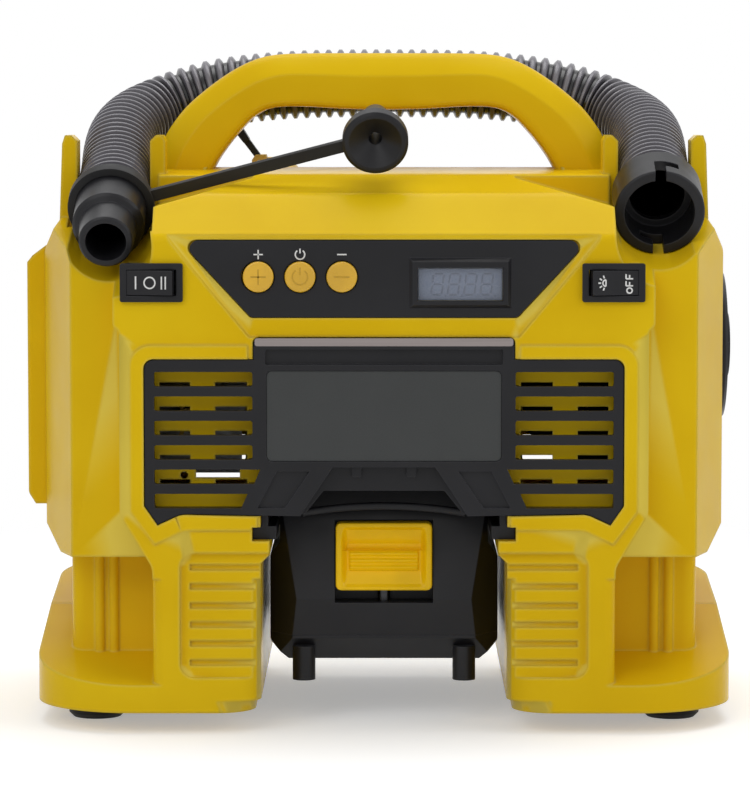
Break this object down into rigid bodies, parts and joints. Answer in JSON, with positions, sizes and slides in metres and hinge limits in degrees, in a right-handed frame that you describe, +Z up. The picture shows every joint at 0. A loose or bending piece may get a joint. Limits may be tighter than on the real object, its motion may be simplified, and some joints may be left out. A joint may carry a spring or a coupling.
{
  "type": "tire inflator",
  "caption": "Portable cordless tire inflator on two hollow legs, with a slide-in battery, a stowed ribbed hose, a pressure hose, a display with push keys and rocker switches.",
  "frame": {"origin": "on the floor under the middle of the object, between its rubber feet", "axes": "+X to the right seen from the control panel, +Y to the back, +Z up; the housing is symmetric about X = 0 apart from its fittings"},
  "size_m": [0.253, 0.1782, 0.2358],
  "materials": {
    "housing_yellow": "moulded yellow, fine satin texture",
    "black_plastic": "black moulded plastic",
    "label_grey": "dark grey grained film, bare",
    "satin_strip": "satin strip",
    "button_amber": "amber keys",
    "latch_amber": "amber latch",
    "display_glass": "grey-blue window",
    "display_case": "display module",
    "circuit_green": "printed board",
    "rubber_black": "rubber",
    "hose_black": "ribbed hose, slightly shiny",
    "steel": "plain steel",
    "brass": "turned brass",
    "aluminium": "cast aluminium",
    "cell_wrap": "shrink wrap",
    "clear_lens": "frosted clear lens",
    "white_nylon": "nylon"
  },
  "bodies": {
    "housing": {"front_shell": "housing_yellow", "rear_shell": "housing_yellow", "fascia_grille": "black_plastic", "fascia_trim_strip": "satin_strip", "label_insert": "label_grey", "control_panel": "black_plastic", "lcd_window": "display_glass", "lcd_module": "display_case", "control_board": "circuit_green", "pressure_sensor": "black_plastic", "mode_switch_frame": "black_plastic", "lamp_switch_frame": "black_plastic", "battery_dock": "black_plastic", "dock_terminals": "brass", "rubber_feet": "rubber_black", "housing_screws": "steel", "lamp_lens": "clear_lens", "lamp_board": "circuit_green", "cover_hinge_pin": "steel", "accessory_tray": "black_plastic", "ball_needle": "brass", "valve_adapter": "brass", "blower_port": "black_plastic", "pump_frame": "aluminium", "pump_motor": "steel", "pump_cylinder": "steel", "cylinder_head": "aluminium", "blower_housing": "black_plastic", "blower_motor": "steel", "outlet_tube": "rubber_black", "pressure_hose": "rubber_black", "pressure_hose_fitting": "brass", "chuck_body": "brass", "chuck_lever_pin": "steel"},
    "plus_button": {"button_plus": "button_amber"},
    "power_button": {"button_power": "button_amber"},
    "minus_button": {"button_minus": "button_amber"},
    "mode_switch_rocker": {"mode_rocker": "black_plastic"},
    "lamp_switch_rocker": {"lamp_rocker": "black_plastic"},
    "battery": {"battery_upper_case": "black_plastic", "battery_lower_case": "black_plastic", "battery_cells": "cell_wrap", "battery_terminals": "brass", "latch_spring": "steel"},
    "latch": {"battery_latch": "latch_amber"},
    "stowed_hose": {"air_hose": "hose_black", "hose_nozzle": "black_plastic", "hose_collar": "black_plastic"},
    "cone_and_strap": {"adapter_strap": "rubber_black", "cone_adapter": "black_plastic"},
    "chuck_lever": {"chuck_thumb_lever": "black_plastic"},
    "crank": {"crank_gear": "white_nylon"},
    "pinion": {"motor_pinion": "brass"},
    "connecting_rod": {"piston_rod": "aluminium"},
    "pump_piston": {"piston": "aluminium"},
    "blower_wheel": {"blower_impeller": "black_plastic"},
    "side_cover": {"accessory_cover": "housing_yellow"}
  },
  "joints": [
    {"name": "plus_press", "type": "slide", "parent": "housing", "child": "plus_button", "axis": [0, 1, 0], "range_m": [0, 0.001], "stiffness_N_per_m": 500, "springref_m": -0.0008},
    {"name": "power_press", "type": "slide", "parent": "housing", "child": "power_button", "axis": [0, 1, 0], "range_m": [0, 0.001], "stiffness_N_per_m": 500, "springref_m": -0.0008},
    {"name": "minus_press", "type": "slide", "parent": "housing", "child": "minus_button", "axis": [0, 1, 0], "range_m": [0, 0.001], "stiffness_N_per_m": 500, "springref_m": -0.0008},
    {"name": "mode_tilt", "type": "hinge", "parent": "housing", "child": "mode_switch_rocker", "pos_m": [-0.0792, -0.0842, 0.1556], "axis": [0, 0, 1], "range_deg": [0, 20]},
    {"name": "lamp_tilt", "type": "hinge", "parent": "housing", "child": "lamp_switch_rocker", "pos_m": [0.0782, -0.0842, 0.1556], "axis": [0, 0, -1], "range_deg": [0, 20]},
    {"name": "battery_pull", "type": "slide", "parent": "housing", "child": "battery", "axis": [0, -1, 0], "range_m": [0, 0.145]},
    {"name": "latch_press", "type": "slide", "parent": "battery", "child": "latch", "axis": [0, 0, -1], "range_m": [0, 0.004], "stiffness_N_per_m": 900, "springref_m": -0.0015, "deforming": ["latch_spring"]},
    {"name": "hose_lift", "type": "slide", "parent": "housing", "child": "stowed_hose", "axis": [0, 0, 1], "range_m": [0, 0.08]},
    {"name": "strap_swing", "type": "hinge", "parent": "stowed_hose", "child": "cone_and_strap", "pos_m": [-0.095, -0.05, 0.1815], "axis": [0, -0.9272, -0.3746], "range_deg": [0, 70]},
    {"name": "lever_flip", "type": "hinge", "parent": "housing", "child": "chuck_lever", "pos_m": [-0.0476, 0.0806, 0.193], "axis": [0, -1, 0], "range_deg": [0, 60]},
    {"name": "crank_turn", "type": "hinge", "parent": "housing", "child": "crank", "pos_m": [-0.07, -0.03, 0.128], "axis": [0, 1, 0], "continuous": true},
    {"name": "pinion_turn", "type": "hinge", "parent": "housing", "child": "pinion", "pos_m": [-0.07, -0.03, 0.104], "axis": [0, 1, 0], "continuous": true},
    {"name": "rod_turn", "type": "hinge", "parent": "crank", "child": "connecting_rod", "pos_m": [-0.07, -0.0365, 0.132], "axis": [0, 1, 0], "continuous": true},
    {"name": "piston_stroke", "type": "slide", "parent": "housing", "child": "pump_piston", "axis": [1, 0, 0], "range_m": [-0.004, 0.004]},
    {"name": "blower_turn", "type": "hinge", "parent": "housing", "child": "blower_wheel", "pos_m": [0.078, 0.02, 0.116], "axis": [0, 1, 0], "continuous": true},
    {"name": "cover_swing", "type": "hinge", "parent": "housing", "child": "side_cover", "pos_m": [-0.1222, 0.0334, 0.12], "axis": [0, 0, -1], "range_deg": [0, 90]}
  ],
  "couplings": [
    {"joint": "pinion_turn", "follows": "crank_turn", "ratio": -3},
    {"joint": "rod_turn", "follows": "crank_turn", "ratio": -1}
  ]
}
